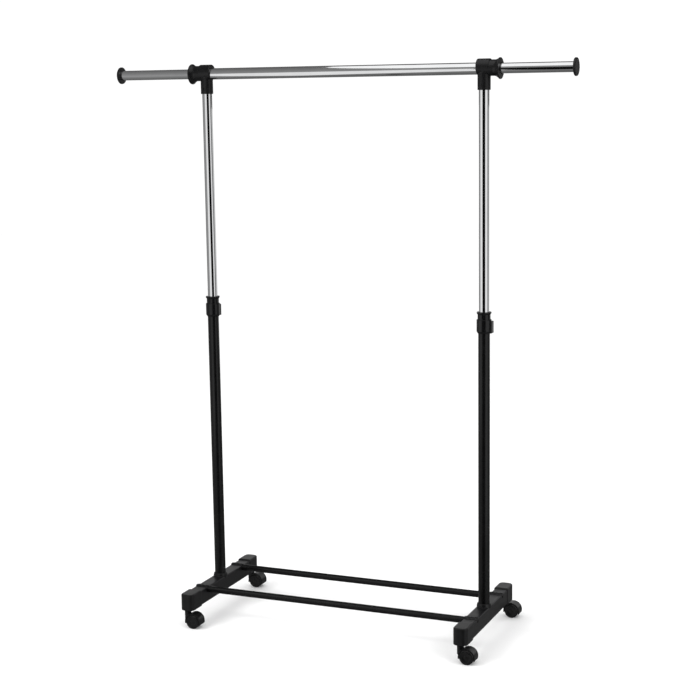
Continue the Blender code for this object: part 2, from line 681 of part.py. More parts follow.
# ---- extension rods ------------------------------------------------------------------------------
def rod_set(side, parent):
    """An extension rod, its guide plug and its end cap, with their origins on the line they slide along."""
    out = (SIDES[side], 0, 0)
    end = FLANGE_FACE + ROD_OUT[side]
    place = (out[0] * end, 0, 0)
    rod = tube_mesh(ROD_R, ROD_R - CHROME_WALL, -ROD_LENGTH, 0, TUBE_SIDES)
    placed(f"{side}_extension_rod", moved(rod, turned_to(out)), TUBE_CHROME, place, parent)
    guide = tube_guide(ROD_R - CHROME_WALL, RAIL_R - CHROME_WALL, GUIDE_LENGTH, GUIDE_LIP)
    inner_end = (out[0] * (end - ROD_LENGTH), 0, 0)
    placed(f"{side}_rod_guide", moved(guide, turned_to(out)), NYLON, inner_end, parent)
    placed(f"{side}_end_cap", moved(end_cap_mesh(), turned_to(out)), PLASTIC_BLACK, place, parent)


def end_cap_mesh():
    """A round cap with a rounded rim, plugged into the rod's end, hollow behind."""
    plug = ROD_R - CHROME_WALL - GAP
    hollow = plug - CAP_ROUND
    outer = CAP_THICK + GAP
    rim_low = arc((CAP_R - CAP_ROUND, GAP + CAP_ROUND), CAP_ROUND, -90, 0, 2)
    rim_high = arc((CAP_R - CAP_ROUND, outer - CAP_ROUND), CAP_ROUND, 0, 90, 2)
    inside = [(0, CAP_ROUND), (hollow, CAP_ROUND), (hollow, -CAP_PLUG_LENGTH)]
    outside = [(plug, -CAP_PLUG_LENGTH), (plug, GAP)]
    return turned(inside + outside + rim_low + rim_high + [(0, outer)], TUBE_SIDES)


# ---- casters -------------------------------------------------------------------------------------
def caster_stem():
    """A steel stem, pressed into the leg. The housing turns on its lower end."""
    return turned(
        [
            (0, STEM_BOTTOM),
            (STEM_R, STEM_BOTTOM),
            (STEM_R, STEM_TOP - STEM_CHAMFER),
            (STEM_R - STEM_CHAMFER, STEM_TOP),
            (0, STEM_TOP),
        ],
        PIN_SIDES,
    )


def hood_mesh():
    """The hood over the wheels and the web below the axle, as one slab about an axle along Y."""
    outline = arc((0, 0), HOOD_R, HOOD_FROM, HOOD_TO, HOOD_STEPS)
    outline += arc((0, 0), WEB_R, HOOD_TO, 360 + HOOD_FROM, HOOD_STEPS // 2)
    slab = extruded(outline, -HOOD_HALF_WIDTH, HOOD_HALF_WIDTH)
    return moved(slab, Matrix.Rotation(math.radians(90), 4, "X"))


def caster_housing(name, parent):
    """Neck, web and hood in one moulding. The origin is on the swivel axis, at the axle's height."""
    neck_top = BLOCK_BOTTOM - NECK_TOP_GAP - WHEEL_Z
    neck_low = STEM_BOTTOM - NECK_FLOOR - WHEEL_Z
    to_axle = Matrix.Translation((CASTER_TRAIL, 0, 0))
    made = placed(f"{name}_housing", moved(hood_mesh(), to_axle), CASTER_BLACK, parent=parent)
    neck = [
        (0, neck_low),
        (NECK_R, neck_low),
        (NECK_R, neck_top - NECK_EDGE),
        (NECK_R - NECK_EDGE, neck_top),
        (0, neck_top),
    ]
    join(made, turned(neck, SMALL_SIDES))
    wheel_space = bore(WHEEL_R + WHEEL_CLEARANCE, TUBE_SIDES)
    spaces = []
    for sign in ENDS.values():
        space = rod_mesh(wheel_space, WEB_HALF, WHEEL_OUTER + OVERRUN, TUBE_SIDES)
        spaces.append(moved(space, to_axle @ turned_to((0, sign, 0))))
    stem_fit = bore(STEM_R + RUNNING, PIN_SIDES)
    stem_hole = rod_mesh(stem_fit, STEM_BOTTOM - GAP - WHEEL_Z, neck_top + OVERRUN, PIN_SIDES)
    axle_hole = rod_mesh(bore(AXLE_R + GAP / 2, PIN_SIDES), -WEB_R, WEB_R, PIN_SIDES)
    return cut(made, merged(*spaces), stem_hole, moved(axle_hole, to_axle @ turned_to((0, 1, 0))))


def wheel(name, parent, outward):
    """One wheel of a pair, dished on its outer face, with a blind bore. It stands on a flat."""
    blind = AXLE_HALF_LENGTH + GAP
    hole = bore(AXLE_R + RUNNING, SMALL_SIDES)
    tread = bore(WHEEL_R, SMALL_SIDES)
    mesh = turned(
        [
            (0, blind),
            (hole, blind),
            (hole, WHEEL_INNER),
            (tread, WHEEL_INNER),
            (tread, WHEEL_OUTER - WHEEL_TREAD_ROUND),
            (tread - WHEEL_TREAD_ROUND, WHEEL_OUTER),
            (WHEEL_WALL_R, WHEEL_OUTER),
            (WHEEL_HUB_R, WHEEL_OUTER - WHEEL_DISH),
            (0, WHEEL_OUTER - WHEEL_DISH),
        ],
        SMALL_SIDES,
    )
    moved(mesh, Matrix.Rotation(math.pi / SMALL_SIDES, 4, "Z"))
    return placed(name, moved(mesh, turned_to((0, outward, 0))), CASTER_BLACK, parent=parent)


def caster(side, end):
    name = f"{end}_{side}_caster"
    place = (POST_X[side], ENDS[end] * CASTER_FROM_MIDDLE)
    placed(f"{name}_stem", caster_stem(), FASTENER_STEEL, (*place, 0))
    swivel = empty(f"{name}_swivel", (*place, WHEEL_Z))
    caster_housing(name, swivel)
    axle_centre = empty(f"{name}_axle_line", (CASTER_TRAIL, 0, 0), swivel)
    axle = rod_mesh(AXLE_R, -AXLE_HALF_LENGTH, AXLE_HALF_LENGTH, PIN_SIDES)
    placed(f"{name}_axle", moved(axle, turned_to((0, 1, 0))), FASTENER_STEEL, parent=axle_centre)
    wheel(f"{name}_front_wheel", axle_centre, -1)
    wheel(f"{name}_rear_wheel", axle_centre, 1)


# ---- the whole rack ------------------------------------------------------------------------------
def build():
    clear_scene()
    top_frame = empty("top_frame", (BASE_X, 0, RAIL_HEIGHT))
    for side in SIDES:
        leg(side)
        lower_tube(side)
        collet(side)
        clamp_ring(side)
        upper_tube(side, top_frame)
        post_guide(side, top_frame)
        tee(side, top_frame)
        rail_bush(side, top_frame)
        rod_set(side, top_frame)
        tee_screw(side, top_frame)
        placed(f"{side}_post_plug", post_plug(), NYLON, (POST_X[side], 0, 0))
        placed(f"{side}_post_bolt", post_bolt(), FASTENER_STEEL, (POST_X[side], 0, 0))
        for end in ENDS:
            bar_fixings(side, end)
            caster(side, end)
    for end in ENDS:
        base_bar(end)
    main_rail(top_frame)


build()
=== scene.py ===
"""Looks for the rolling clothes rack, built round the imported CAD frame. Metres, +Z up, front at -Y."""

import math

import bmesh
import bpy
from mathutils import Matrix, Vector

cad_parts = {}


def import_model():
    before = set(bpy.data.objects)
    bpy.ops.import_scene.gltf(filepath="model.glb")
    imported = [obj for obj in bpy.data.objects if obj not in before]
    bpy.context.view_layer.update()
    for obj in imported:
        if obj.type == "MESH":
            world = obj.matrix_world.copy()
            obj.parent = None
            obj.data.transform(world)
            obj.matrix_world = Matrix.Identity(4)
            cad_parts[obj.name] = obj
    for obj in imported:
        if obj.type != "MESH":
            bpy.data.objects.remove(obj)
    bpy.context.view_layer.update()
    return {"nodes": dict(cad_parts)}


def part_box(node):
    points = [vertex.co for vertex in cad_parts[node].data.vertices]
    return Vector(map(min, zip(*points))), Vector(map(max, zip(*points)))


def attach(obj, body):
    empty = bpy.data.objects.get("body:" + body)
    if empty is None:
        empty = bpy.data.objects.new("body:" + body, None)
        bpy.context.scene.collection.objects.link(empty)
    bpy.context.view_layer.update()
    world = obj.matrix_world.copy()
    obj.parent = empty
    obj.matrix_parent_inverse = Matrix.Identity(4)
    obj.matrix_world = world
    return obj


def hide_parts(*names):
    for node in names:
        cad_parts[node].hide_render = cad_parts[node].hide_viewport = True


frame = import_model()

SIDES = {"left": -1, "right": 1}
ENDS = {"front": -1, "rear": 1}


def middle(node):
    low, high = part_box(node)
    return (low + high) / 2


# ---- places, from the frame ----------------------------------------------------------------------
POST_X = {side: middle(f"{side}_upper_tube").x for side in SIDES}
RAIL_Z = middle("main_rail").z
BAR_Y = {end: middle(f"{end}_base_bar").y for end in ENDS}
BAR_Z = middle("front_base_bar").z
CASTER_Y = {end: middle(f"{end}_left_caster_stem").y for end in ENDS}
COLLET_TOP = {side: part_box(f"{side}_collet")[1].z for side in SIDES}

# ---- sizes, as in the CAD ------------------------------------------------------------------------
GAP = 0.0003  # between pieces that touch
RUNNING = 0.00025  # radial clearance of what turns or slides

# tubes: _R is always an outer radius
LOWER_R = 0.016
LOWER_BORE = 0.015
UPPER_R = 0.014
RAIL_R = 0.016
ROD_R = 0.014
CHROME_WALL = 0.0008
BAR_R = 0.0095
TUBE_EDGE = 0.0003  # broken edge of a cut end

# casters, about the axle
WHEEL_R = 0.020
WHEEL_INNER = 0.0050  # wheel's inner and outer faces from the caster's middle
WHEEL_OUTER = 0.0175
TRAIL = 0.021  # axle from the swivel axis
AXLE_R = 0.0025
AXLE_SEAT = 0.0143  # how far a wheel's bore runs out from the caster's middle
HOOD_R = 0.0240
HOOD_HALF = 0.0160
HOOD_FROM, HOOD_SWEEP = -20, 212  # degrees about the axle, from +X
WHEEL_SPACE = 0.001  # between the tread and the hood
WEB_R = 0.0170
WEB_HALF = 0.0042
NECK_R = 0.0095
NECK_BOTTOM = 0.004
NECK_TOP_GAP = 0.001  # between the housing and the leg
STEM_BORE_R, STEM_BORE_FLOOR = 0.00425, 0.0067

# legs
BLOCK_BOTTOM, BLOCK_TOP = 0.0495, 0.0970
BLOCK_HALF = 0.0205
BLOCK_LENGTH = 0.058
BLOCK_CORNER = 0.014
BLOCK_ROLL = 0.0038  # radius of the block's rolled top edge
LEG_TIP = 0.216
BEAM_BOTTOM, BEAM_TOP = 0.0515, 0.0935
BEAM_HALF = 0.0190
BEAM_ROLL = 0.0032
HUMP_R = 0.0115
RIB_PITCH, RIB_HALF, RIB_RISE = 0.012, 0.0011, 0.0007
BOSS_R, BOSS_LIP_R, BOSS_TOP = 0.0205, 0.0185, 0.1030
BOSS_SKIRT = 0.008
SOCKET_FLOOR = 0.0600
BAR_SOCKET = 0.024  # from the leg's middle to the bar socket's mouth
STEM_SOCKET_R, STEM_SOCKET_TOP = 0.0043, 0.085
BAR_SCREW_HEAD_R, BAR_SCREW_HEAD, BAR_SCREW_R, BAR_SCREW_LENGTH = 0.0034, 0.0022, 0.0020, 0.024
BAR_SCREW_WELL_R, BAR_SCREW_WELL, BAR_SCREW_HOLE_R = 0.0040, 0.004, 0.0023
POST_BOLT_HEAD_R, POST_BOLT_HEAD, POST_BOLT_R, POST_BOLT_LENGTH = 0.0050, 0.0035, 0.0030, 0.026
POST_BOLT_WELL_R, POST_BOLT_WELL_TOP, POST_BOLT_HOLE_R, POST_BOLT_HOLE_TOP = 0.0056, 0.0560, 0.0033, 0.0620

# height clamps
RIM_R, NECK_OUT, SEAT_R = 0.0201, 0.0176, 0.0180
RIM_THICK = 0.0035
COLLET_NECK = 0.020  # from the top down to the ring
COLLET_TAIL = 0.030  # part inside the lower tube
COLLET_SLOTS = 6
SLOT_HALF = 0.0008
RING_R = 0.0205
RING_HEIGHT = 0.038
RING_CHAMFER_R, RING_CHAMFER = 0.0030, 0.0055
PAD_ROOT, PAD_REACH = 0.010, 0.0246
PAD_HALF = 0.0100
PAD_BELOW, PAD_DROP = 0.001, 0.004  # the pad inside the ring's bottom and top
PAD_EDGE = 0.0016
RING_TURN = {"left": 73.0, "right": 0.0}  # direction of the thumb pad, degrees from +X

# tees
TEE_INNER, TEE_BODY_END, TEE_OUTER = 0.018, 0.019, 0.047  # from the upright's axis
TEE_BODY_R, TEE_RISE = 0.0220, 0.0042
TEE_EDGE = 0.0026
TEE_NECK_R, TEE_NECK_RISE = 0.0215, 0.0017
TEE_FLARE, TEE_FLANGE_R, TEE_FLANGE = 0.0290, 0.0285, 0.0035
SLEEVE_R, SLEEVE_DROP = 0.0175, 0.056
POST_TOP_DROP = 0.008  # top of the upright's bore under the rail's axis
SCREW_DROP = 0.043
TEE_SCREW_SINK = 0.0017
TEE_SCREW_HEAD_R, TEE_SCREW_HEAD, TEE_SCREW_R, TEE_SCREW_LENGTH = 0.0029, 0.0017, 0.0015, 0.0058
TEE_RECESS_R, TEE_RECESS_MOUTH_R = 0.0034, 0.0036
RAIL_END = 0.026  # from the upright's axis to the rail's cut end
BUSH_RECESS, BUSH_LIP = 0.0010, 0.0006

# end caps
CAP_R, CAP_THICK = 0.0240, 0.0070
CAP_DISH = 0.0007
CAP_PLUG, CAP_PLUG_WALL = 0.020, 0.0022

ROUND = 96  # segments of a turned piece
SMALL_ROUND = 40  # segments of a small hole
SUPPORT = 0.0004  # from a fillet to the ring that keeps the flat beside it flat in shading


# ---- mesh tools ----------------------------------------------------------------------------------
def filleted(points, closed, steps=5):
    """2D points (x, y, fillet radius) with each corner replaced by an arc."""
    out = []
    count = len(points)
    for i, (x, y, radius) in enumerate(points):
        here = Vector((x, y))
        ends = not closed and i in (0, count - 1)
        if ends or radius == 0:
            out.append((x, y))
            continue
        back = Vector(points[i - 1][:2]) - here
        ahead = Vector(points[(i + 1) % count][:2]) - here
        half = back.angle(ahead) / 2
        reach = min(radius / math.tan(half), 0.499 * back.length, 0.499 * ahead.length)
        radius = reach * math.tan(half)
        centre = here + (back.normalized() + ahead.normalized()).normalized() * (radius / math.sin(half))
        first = here + back.normalized() * reach - centre
        last = here + ahead.normalized() * reach - centre
        turn = first.angle_signed(last)
        spots = [centre + Matrix.Rotation(-turn * k / steps, 2) @ first for k in range(steps + 1)]
        beyond = reach + SUPPORT
        if beyond < 0.45 * back.length:
            spots.insert(0, here + back.normalized() * beyond)
        if beyond < 0.45 * ahead.length:
            spots.append(here + ahead.normalized() * beyond)
        out += [(spot.x, spot.y) for spot in spots]
    return out


def turned(points, sides=ROUND, steps=5):
    """A solid turned about Z from (radius, height, fillet) points: axis to axis, or a closed loop."""
    loop = points[0][0] > 0
    mesh = bmesh.new()
    rings = []
    for radius, height in filleted(points, loop, steps):
        if radius < 1e-6:
            rings.append([mesh.verts.new((0, 0, height))])
            continue
        turns = [2 * math.pi * i / sides for i in range(sides)]
        rings.append([mesh.verts.new((radius * math.cos(a), radius * math.sin(a), height)) for a in turns])
    if loop:
        rings.append(rings[0])
    for first, second in zip(rings, rings[1:]):
        skin(mesh, first, second)
    return mesh


def skin(mesh, first, second):
    """Faces between two rings of vertices, either of which may be a single point."""
    count = max(len(first), len(second))
    for i in range(count):
        j = (i + 1) % count
        corners = [first[i % len(first)], first[j % len(first)]]
        corners += [second[j % len(second)], second[i % len(second)]]
        mesh.faces.new([c for k, c in enumerate(corners) if c not in corners[:k]])


def cylinder(radius, low, high, sides=ROUND):
    return turned([(0, low, 0), (radius, low, 0), (radius, high, 0), (0, high, 0)], sides)


def prism(outline, low, high):
    """A solid from a closed (x, y) outline between two heights."""
    mesh = bmesh.new()
    bottom = [mesh.verts.new((x, y, low)) for x, y in outline]
    top = [mesh.verts.new((x, y, high)) for x, y in outline]
    mesh.faces.new(bottom)
    mesh.faces.new(top)
    skin(mesh, bottom, top)
    return mesh


def box(low, high, round_off=0.0):
    outline = [(low[0], low[1]), (high[0], low[1]), (high[0], high[1]), (low[0], high[1])]
    mesh = prism(outline, low[2], high[2])
    if round_off:
        bmesh.ops.bevel(mesh, geom=mesh.edges[:], offset=round_off, segments=3, profile=0.5, affect="EDGES")
    return mesh


def moved(mesh, matrix):
    bmesh.ops.transform(mesh, matrix=matrix, verts=mesh.verts)
    return mesh


def along(axis, place=(0, 0, 0)):
    """Matrix that lays the Z axis along axis and moves the origin to place."""
    turn = Vector((0, 0, 1)).rotation_difference(Vector(axis))
    return Matrix.Translation(place) @ turn.to_matrix().to_4x4()


def as_object(name, mesh):
    bmesh.ops.recalc_face_normals(mesh, faces=mesh.faces)
    data = bpy.data.meshes.new(name)
    mesh.to_mesh(data)
    mesh.free()
    obj = bpy.data.objects.new(name, data)
    bpy.context.scene.collection.objects.link(obj)
    return obj


def settle(obj):
    """Applies obj's modifiers to its mesh."""
    bpy.context.view_layer.update()
    graph = bpy.context.evaluated_depsgraph_get()
    data = bpy.data.meshes.new_from_object(obj.evaluated_get(graph))
    obj.modifiers.clear()
    obj.data = data


def boolean(obj, operation, meshes):
    """Joins each mesh to obj, or cuts it from obj, in turn."""
    for mesh in meshes:
        tool = as_object("tool", mesh)
        modifier = obj.modifiers.new("boolean", "BOOLEAN")
        modifier.operation = operation
        modifier.solver = "EXACT"
        modifier.object = tool
        settle(obj)
        bpy.data.objects.remove(tool)


def together(meshes):
    """One mesh that holds several overlapping shells."""
    whole = bmesh.new()
    for mesh in meshes:
        bmesh.ops.recalc_face_normals(mesh, faces=mesh.faces)
        shell = bpy.data.meshes.new("shell")
        mesh.to_mesh(shell)
        mesh.free()
        whole.from_mesh(shell)
        bpy.data.meshes.remove(shell)
    return whole


def moulded(name, shells, cuts=(), early_cuts=(), joins=(), voxel=0.0007, keep=0.25, passes=4):
    """A moulding: shells fused, their edges softened all over, then the bores that other pieces run in."""
    obj = as_object(name, together(shells))
    boolean(obj, "UNION", joins)
    boolean(obj, "DIFFERENCE", early_cuts)
    remesh = obj.modifiers.new("remesh", "REMESH")
    remesh.mode = "VOXEL"
    remesh.voxel_size = voxel
    soften = obj.modifiers.new("soften", "SMOOTH")
    soften.factor = 0.5
    soften.iterations = passes
    thin = obj.modifiers.new("thin", "DECIMATE")
    thin.ratio = keep
    settle(obj)
    boolean(obj, "DIFFERENCE", cuts)
    return obj


def piece(obj, body, material, replaces=(), crease=50):
    """Finishes obj as a visible piece. crease is the angle past which an edge stays sharp."""
    obj.data.shade_smooth()
    obj.data.set_sharp_from_angle(angle=math.radians(crease))
    obj.data.materials.clear()
    obj.data.materials.append(material)
    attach(obj, body)
    if replaces:
        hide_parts(*replaces)
    return obj


# ---- materials -----------------------------------------------------------------------------------
class Look:
    """A Principled material built up node by node."""

    def __init__(self, name, metallic=0.0, **sockets):
        self.material = bpy.data.materials.new(name)
        self.material.use_nodes = True
        self.tree = self.material.node_tree
        self.shader = self.tree.nodes["Principled BSDF"]
        self.shader.inputs["Metallic"].default_value = metallic
        for socket, value in sockets.items():
            self.shader.inputs[socket.replace("_", " ")].default_value = value
        self.place = self.node("ShaderNodeTexCoord").outputs["Object"]

    def node(self, kind, **settings):
        made = self.tree.nodes.new(kind)
        for name, value in settings.items():
            setattr(made, name, value)
        return made

    def link(self, source, target):
        self.tree.links.new(source, target)

    def noise(self, scale, detail=3.0, rough=0.5, stretch=(1, 1, 1)):
        mapping = self.node("ShaderNodeMapping")
        mapping.inputs["Scale"].default_value = stretch
        self.link(self.place, mapping.inputs["Vector"])
        made = self.node("ShaderNodeTexNoise")
        made.inputs["Scale"].default_value = scale
        made.inputs["Detail"].default_value = detail
        made.inputs["Roughness"].default_value = rough
        self.link(mapping.outputs["Vector"], made.inputs["Vector"])
        return made.outputs["Fac"]

    def span(self, value, low, high, start=0.3, end=0.7):
        made = self.node("ShaderNodeMapRange")
        for socket, number in (("From Min", start), ("From Max", end), ("To Min", low), ("To Max", high)):
            made.inputs[socket].default_value = number
        self.link(value, made.inputs["Value"])
        return made.outputs["Result"]

    def math(self, operation, first, second):
        made = self.node("ShaderNodeMath", operation=operation)
        for socket, value in zip(made.inputs, (first, second)):
            if isinstance(value, (int, float)):
                socket.default_value = value
            else:
                self.link(value, socket)
        return made.outputs["Value"]

    def mix(self, factor, first, second):
        made = self.node("ShaderNodeMix", data_type="RGBA")
        self.link(factor, made.inputs[0])
        for socket, value in ((made.inputs[6], first), (made.inputs[7], second)):
            if isinstance(value, tuple):
                socket.default_value = (*value, 1.0)
            else:
                self.link(value, socket)
        return made.outputs[2]

    def edges(self, start=0.53, end=0.62):
        """1 on convex edges, fading to 0 on flat faces."""
        return self.span(self.node("ShaderNodeNewGeometry").outputs["Pointiness"], 0.0, 1.0, start, end)

    def finish(self, colour, roughness, bump, strength, distance):
        self.link(colour, self.shader.inputs["Base Color"])
        self.link(roughness, self.shader.inputs["Roughness"])
        made = self.node("ShaderNodeBump")
        made.inputs["Strength"].default_value = strength
        made.inputs["Distance"].default_value = distance
        self.link(bump, made.inputs["Height"])
        self.link(made.outputs["Normal"], self.shader.inputs["Normal"])
        return self.material


def chrome(name, grain):
    """Bright chrome plate. grain stretches the fine polishing lines along the tube."""
    look = Look(name, metallic=1.0)
    smear = look.noise(14.0, 4.0, 0.6)
    lines = look.noise(900.0, 2.0, 0.5, grain)
    colour = look.mix(look.span(smear, 0.0, 1.0), (0.86, 0.865, 0.875), (0.92, 0.925, 0.93))
    rough = look.math("ADD", look.span(smear, 0.035, 0.060, 0.35, 0.75), look.span(lines, 0.0, 0.015))
    return look.finish(colour, rough, lines, 0.01, 0.000002)


def enamel():
    """Black powder coat on the steel tubes: satin, with a fine orange peel and a little dust."""
    look = Look("black_enamel_looks", Specular_IOR_Level=0.38)
    cloud = look.noise(18.0, 4.0, 0.6)
    peel = look.noise(650.0, 2.0, 0.45)
    speck = look.noise(2600.0, 1.0, 0.4)
    colour = look.mix(look.span(cloud, 0.0, 1.0), (0.0016, 0.0016, 0.0017), (0.0030, 0.0030, 0.0032))
    colour = look.mix(look.span(speck, 0.0, 0.5, 0.70, 0.80), colour, (0.012, 0.012, 0.013))
    rough = look.math("ADD", look.span(cloud, 0.20, 0.27), look.span(peel, 0.0, 0.05))
    return look.finish(colour, rough, peel, 0.10, 0.0001)


def plastic(name, dark, light, worn, rough_low, rough_high, grain=0.12, specular=0.5):
    """Moulded black plastic: a spark-eroded grain, slight flow marks, and paler handled edges."""
    look = Look(name, Specular_IOR_Level=specular)
    flow = look.noise(28.0, 4.0, 0.6, (1, 1, 2.5))
    texture = look.noise(1800.0, 2.0, 0.5)
    colour = look.mix(look.span(flow, 0.0, 1.0), dark, light)
    scuff = look.math("MULTIPLY", look.edges(), look.span(look.noise(190.0, 4.0, 0.7), 0.15, 0.9))
    colour = look.mix(scuff, colour, worn)
    rough = look.math("ADD", look.span(flow, rough_low, rough_high), look.span(texture, -0.02, 0.03))
    return look.finish(colour, rough, texture, grain, 0.0001)


def tread():
    """The wheels' hard nylon: glossier sides, and a dusty scuffed tread where it rolls."""
    look = Look("caster_tread_looks", Specular_IOR_Level=0.5)
    dust = look.noise(260.0, 5.0, 0.7)
    cloud = look.noise(70.0, 3.0, 0.5)
    colour = look.mix(look.span(cloud, 0.0, 1.0), (0.0018, 0.0018, 0.0020), (0.0036, 0.0036, 0.0039))
    scuff = look.math("MULTIPLY", look.edges(0.51, 0.56), look.span(dust, 0.0, 0.8, 0.45, 0.70))
    colour = look.mix(scuff, colour, (0.030, 0.029, 0.027))
    rough = look.math("ADD", look.span(cloud, 0.22, 0.30), look.span(dust, 0.0, 0.08))
    return look.finish(colour, rough, dust, 0.15, 0.0002)


def steel(name, dark, light, tarnished):
    """Zinc plate, or zinc darkened with painted shade for the screws that sit in recesses."""
    look = Look(name, metallic=1.0)
    spangle = look.noise(420.0, 4.0, 0.6)
    tarnish = look.noise(90.0, 3.0, 0.6)
    colour = look.mix(look.span(spangle, 0.0, 1.0), dark, light)
    colour = look.mix(look.span(tarnish, 0.0, 0.5, 0.55, 0.75), colour, tarnished)
    rough = look.span(spangle, 0.22, 0.42)
    return look.finish(colour, rough, spangle, 0.15, 0.0001)


def nylon():
    """Natural nylon of the hidden plugs."""
    look = Look("natural_nylon_looks", Specular_IOR_Level=0.5)
    cloud = look.noise(120.0, 3.0, 0.6)
    colour = look.mix(look.span(cloud, 0.0, 1.0), (0.62, 0.59, 0.52), (0.74, 0.72, 0.66))
    return look.finish(colour, look.span(cloud, 0.42, 0.58), look.noise(1400.0), 0.2, 0.0001)


CHROME_UP = chrome("chrome_upright_looks", (1.0, 1.0, 0.04))
CHROME_ACROSS = chrome("chrome_rail_looks", (0.04, 1.0, 1.0))
ENAMEL = enamel()
PLASTIC = plastic(
    "moulded_plastic_looks",
    dark=(0.0022, 0.0022, 0.0026),
    light=(0.0042, 0.0042, 0.0048),
    worn=(0.020, 0.020, 0.022),
    rough_low=0.30,
    rough_high=0.38,
)
TEE_PLASTIC = plastic(
    "tee_plastic_looks",
    dark=(0.0018, 0.0018, 0.0021),
    light=(0.0036, 0.0036, 0.0040),
    worn=(0.016, 0.016, 0.017),
    rough_low=0.30,
    rough_high=0.38,
    specular=0.38,
)
CLAMP_PLASTIC = plastic(
    "clamp_plastic_looks",
    dark=(0.0018, 0.0018, 0.0021),
    light=(0.0036, 0.0036, 0.0040),
    worn=(0.018, 0.018, 0.019),
    rough_low=0.18,
    rough_high=0.26,
    grain=0.06,
    specular=0.40,
)
CAP_PLASTIC = plastic(
    "end_cap_looks",
    dark=(0.0015, 0.0015, 0.0017),
    light=(0.0030, 0.0030, 0.0033),
    worn=(0.012, 0.012, 0.012),
    rough_low=0.42,
    rough_high=0.50,
)
HOUSING = plastic(
    "caster_housing_looks",
    dark=(0.0015, 0.0015, 0.0017),
    light=(0.0030, 0.0030, 0.0033),
    worn=(0.016, 0.016, 0.016),
    rough_low=0.18,
    rough_high=0.26,
    grain=0.05,
)
TREAD = tread()
STEEL = steel("zinc_plate_looks", (0.42, 0.42, 0.43), (0.62, 0.62, 0.63), (0.30, 0.27, 0.22))
# zinc darkened with painted shade: the tee and leg screws sit in recesses, and the shade there is painted
# into their colour
RECESS_SHADED_STEEL = steel(
    "painted_recess_shade_steel_looks",
    (0.035, 0.035, 0.037),
    (0.070, 0.070, 0.073),
    (0.045, 0.040, 0.034),
)
NYLON = nylon()


# ---- tubes, rail and rods ------------------------------------------------------------------------
def pipe(name, outer, inner, low, high, axis, place):
    """A drawn tube with its cut ends broken, laid along axis from low to high."""
    loop = [
        (inner, low, TUBE_EDGE / 2),
        (outer, low, TUBE_EDGE),
        (outer, high, TUBE_EDGE),
        (inner, high, TUBE_EDGE / 2),
    ]
    return as_object(name, moved(turned(loop, steps=3), along(axis, place)))


def tubes(side):
    """One side's upright, pull-out rod, and the bush that the rod slides in."""
    sign = SIDES[side]
    x = POST_X[side]
    low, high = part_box(f"{side}_lower_tube")
    post = pipe(f"{side}_lower_post", LOWER_R, LOWER_BORE, low.z, high.z, (0, 0, 1), (x, 0, 0))
    piece(post, "base", ENAMEL, [f"{side}_lower_tube"])
    low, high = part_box(f"{side}_upper_tube")
    post = pipe(f"{side}_upper_post", UPPER_R, UPPER_R - CHROME_WALL, low.z, high.z, (0, 0, 1), (x, 0, 0))
    piece(post, "top_frame", CHROME_UP, [f"{side}_upper_tube"])
    low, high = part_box(f"{side}_extension_rod")
    rod = pipe(f"{side}_rod", ROD_R, ROD_R - CHROME_WALL, low.x, high.x, (1, 0, 0), (0, 0, RAIL_Z))
    piece(rod, f"{side}_rod", CHROME_ACROSS, [f"{side}_extension_rod"])
    bush_out = TEE_OUTER - BUSH_RECESS
    ring = [
        (ROD_R + RUNNING, RAIL_END + GAP, 0.0002),
        (RAIL_R, RAIL_END + GAP, 0.0002),
        (RAIL_R, bush_out, BUSH_LIP),
        (ROD_R + RUNNING, bush_out, BUSH_LIP),
    ]
    bush = as_object(f"{side}_bush", moved(turned(ring), along((sign, 0, 0), (x, 0, RAIL_Z))))
    piece(bush, "top_frame", CAP_PLASTIC, [f"{side}_rail_bush"])


def long_tubes():
    low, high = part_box("main_rail")
    rail = pipe("rail", RAIL_R, RAIL_R - CHROME_WALL, low.x, high.x, (1, 0, 0), (0, 0, RAIL_Z))
    piece(rail, "top_frame", CHROME_ACROSS, ["main_rail"])
    for end in ENDS:
        low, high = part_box(f"{end}_base_bar")
        place = (0, BAR_Y[end], BAR_Z)
        bar = pipe(f"{end}_bar", BAR_R, BAR_R - CHROME_WALL, low.x, high.x, (1, 0, 0), place)
        piece(bar, "base", ENAMEL, [f"{end}_base_bar"])


def end_cap(side):
    """A soft-rimmed cap with a shallow dished face, its plug up inside the rod."""
    sign = SIDES[side]
    low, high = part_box(f"{side}_extension_rod")
    end = high.x if sign > 0 else low.x
    plug = ROD_R - CHROME_WALL - GAP
    out = CAP_THICK + GAP
    face = out - CAP_DISH
    hollow = plug - CAP_PLUG_WALL
    profile = [
        (0, 0.0020, 0),
        (hollow, 0.0020, 0.0005),
        (hollow, -CAP_PLUG, 0.0004),
        (plug, -CAP_PLUG, 0.0006),
        (plug, GAP, 0.0003),
        (CAP_R, GAP, 0.0022),
        (CAP_R, out, 0.0026),
        (CAP_R - 0.0050, out, 0.0008),
        (CAP_R - 0.0062, face, 0.0008),
        (0, face, 0),
    ]
    cap = as_object(f"{side}_cap", moved(turned(profile, steps=7), along((sign, 0, 0), (end, 0, RAIL_Z))))
    piece(cap, f"{side}_rod", CAP_PLASTIC, [f"{side}_end_cap"])


# ---- screws --------------------------------------------------------------------------------------
def cross_recess(size, depth, top):
    """Two tapered blades that cut a cross in a screw's head at height top, cutting down from above."""
    blades = []
    for turn in (0, 90):
        blade = box((-size, -size * 0.26, top - depth), (size, size * 0.26, top + depth))
        for vert in blade.verts:
            if vert.co.z < top:
                vert.co.x *= 0.35
                vert.co.y *= 0.55
        blades.append(moved(blade, Matrix.Rotation(math.radians(turn), 4, "Z")))
    return blades


